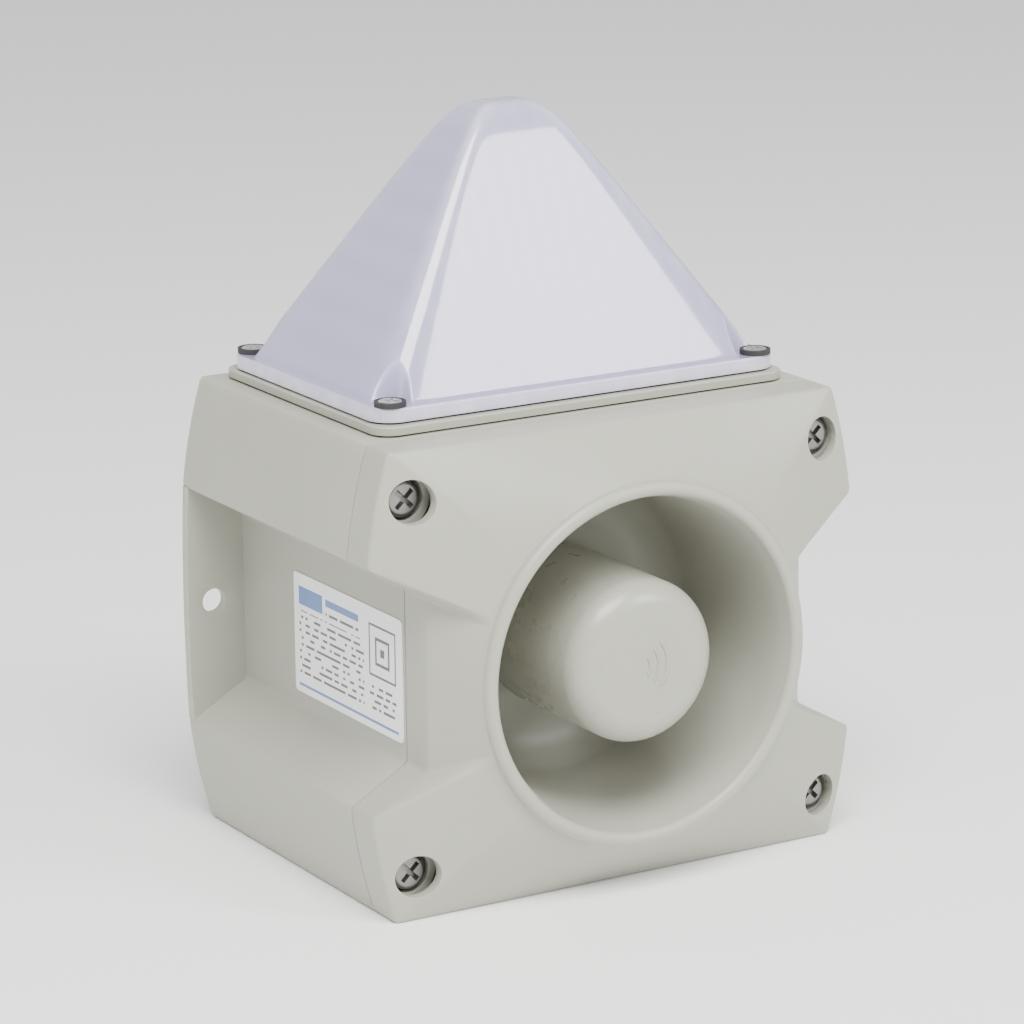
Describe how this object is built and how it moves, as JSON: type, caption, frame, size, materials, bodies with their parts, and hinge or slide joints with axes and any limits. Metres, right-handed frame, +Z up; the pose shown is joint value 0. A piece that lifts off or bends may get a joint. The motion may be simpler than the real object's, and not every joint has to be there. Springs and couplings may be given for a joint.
{
  "type": "horn strobe",
  "caption": "Wall-mounted horn sounder with a folded horn in its screwed front cover and a pyramid-shaped strobe lens on top.",
  "frame": {"origin": "middle of the two wall-screw holes, on the back face", "axes": "+Z up, towards the lens; +X to the right seen from the front; +Y into the wall, so the horn faces -Y"},
  "size_m": [0.1364, 0.1089, 0.183],
  "materials": {
    "housing_plastic": "light warm grey moulded plastic, fine satin texture",
    "seal_rubber": "black rubber",
    "dark_steel": "dark passivated steel screws",
    "bright_steel": "bright plated steel screws",
    "brass": "plain brass",
    "label_film": "white printed film, satin",
    "dark_plastic": "black moulded plastic",
    "lens_plastic": "milky translucent pale plastic, glossy",
    "board_laminate": "green solder resist",
    "led_phosphor": "yellow phosphor in white carrier",
    "white_plastic": "white moulded plastic",
    "lead_jacket": "black lead insulation",
    "terminal_green": "green moulded terminal",
    "switch_blue": "blue moulded switch body",
    "capacitor_sleeve": "dark shrink sleeve",
    "ferrite": "dark grey ferrite",
    "chip_resin": "black moulding resin",
    "diaphragm_film": "amber film",
    "copper_wire": "enamelled copper",
    "plated_steel": "zinc plated steel"
  },
  "bodies": {
    "base": {"board_chips": "chip_resin", "board_screws": "bright_steel", "board_standoffs": "housing_plastic", "capacitors": "capacitor_sleeve", "cover_gasket": "seal_rubber", "dip_switch": "switch_blue", "entry_plug": "dark_plastic", "entry_plug_seal": "seal_rubber", "housing_back": "housing_plastic", "housing_bottom": "housing_plastic", "housing_inserts": "brass", "housing_left_side": "housing_plastic", "housing_right_side": "housing_plastic", "housing_top": "housing_plastic", "inductor": "ferrite", "led_board": "board_laminate", "led_board_screws": "bright_steel", "led_board_socket": "white_plastic", "led_emitters": "led_phosphor", "led_lead": "lead_jacket", "led_main_socket": "white_plastic", "led_reflector": "white_plastic", "lens_gasket": "seal_rubber", "lens_inserts": "brass", "lens_plinth": "housing_plastic", "main_board": "board_laminate", "plinth_gasket": "seal_rubber", "plinth_screws": "bright_steel", "sounder_socket": "white_plastic", "terminal_block": "terminal_green", "terminal_screws": "bright_steel", "type_label": "label_film", "volume_pot": "switch_blue"},
    "cover_unit": {"front_cover": "housing_plastic", "reflex_cap": "housing_plastic", "throat_tube": "housing_plastic", "cover_screws": "dark_steel", "cover_screw_seals": "seal_rubber", "driver_gasket": "seal_rubber", "driver_frame": "dark_plastic", "driver_screws": "bright_steel", "diaphragm_suspension": "diaphragm_film", "top_plate": "plated_steel", "magnet_ring": "ferrite", "yoke": "plated_steel", "driver_can": "dark_plastic", "driver_plug": "white_plastic", "driver_pins": "brass"},
    "cone_unit": {"diaphragm": "diaphragm_film", "voice_coil": "copper_wire"},
    "lens_unit": {"lens": "lens_plastic", "lens_screws": "bright_steel", "lens_screw_seals": "seal_rubber"},
    "volume_knob": {"volume_rotor": "white_plastic"},
    "tone_lever_1": {"dip_lever_1": "white_plastic"},
    "tone_lever_2": {"dip_lever_2": "white_plastic"},
    "tone_lever_3": {"dip_lever_3": "white_plastic"},
    "tone_lever_4": {"dip_lever_4": "white_plastic"},
    "tone_lever_5": {"dip_lever_5": "white_plastic"},
    "tone_lever_6": {"dip_lever_6": "white_plastic"}
  },
  "joints": [
    {"name": "cover_lift_off", "type": "slide", "parent": "base", "child": "cover_unit", "axis": [0, -1, 0], "range_m": [0, 0.09]},
    {"name": "cone_travel", "type": "slide", "parent": "cover_unit", "child": "cone_unit", "axis": [0, -1, 0], "range_m": [-0.0004, 0.0004], "stiffness_N_per_m": 2000},
    {"name": "lens_lift_off", "type": "slide", "parent": "base", "child": "lens_unit", "axis": [0, 0, 1], "range_m": [0, 0.08]},
    {"name": "volume_turn", "type": "hinge", "parent": "base", "child": "volume_knob", "pos_m": [0.026, -0.0171, -0.009], "axis": [0, -1, 0], "range_deg": [-135, 135]},
    {"name": "tone_switch_1", "type": "slide", "parent": "base", "child": "tone_lever_1", "axis": [0, 0, 1], "range_m": [0, 0.0018]},
    {"name": "tone_switch_2", "type": "slide", "parent": "base", "child": "tone_lever_2", "axis": [0, 0, 1], "range_m": [0, 0.0018]},
    {"name": "tone_switch_3", "type": "slide", "parent": "base", "child": "tone_lever_3", "axis": [0, 0, 1], "range_m": [0, 0.0018]},
    {"name": "tone_switch_4", "type": "slide", "parent": "base", "child": "tone_lever_4", "axis": [0, 0, 1], "range_m": [0, 0.0018]},
    {"name": "tone_switch_5", "type": "slide", "parent": "base", "child": "tone_lever_5", "axis": [0, 0, 1], "range_m": [0, 0.0018]},
    {"name": "tone_switch_6", "type": "slide", "parent": "base", "child": "tone_lever_6", "axis": [0, 0, 1], "range_m": [0, 0.0018]}
  ]
}
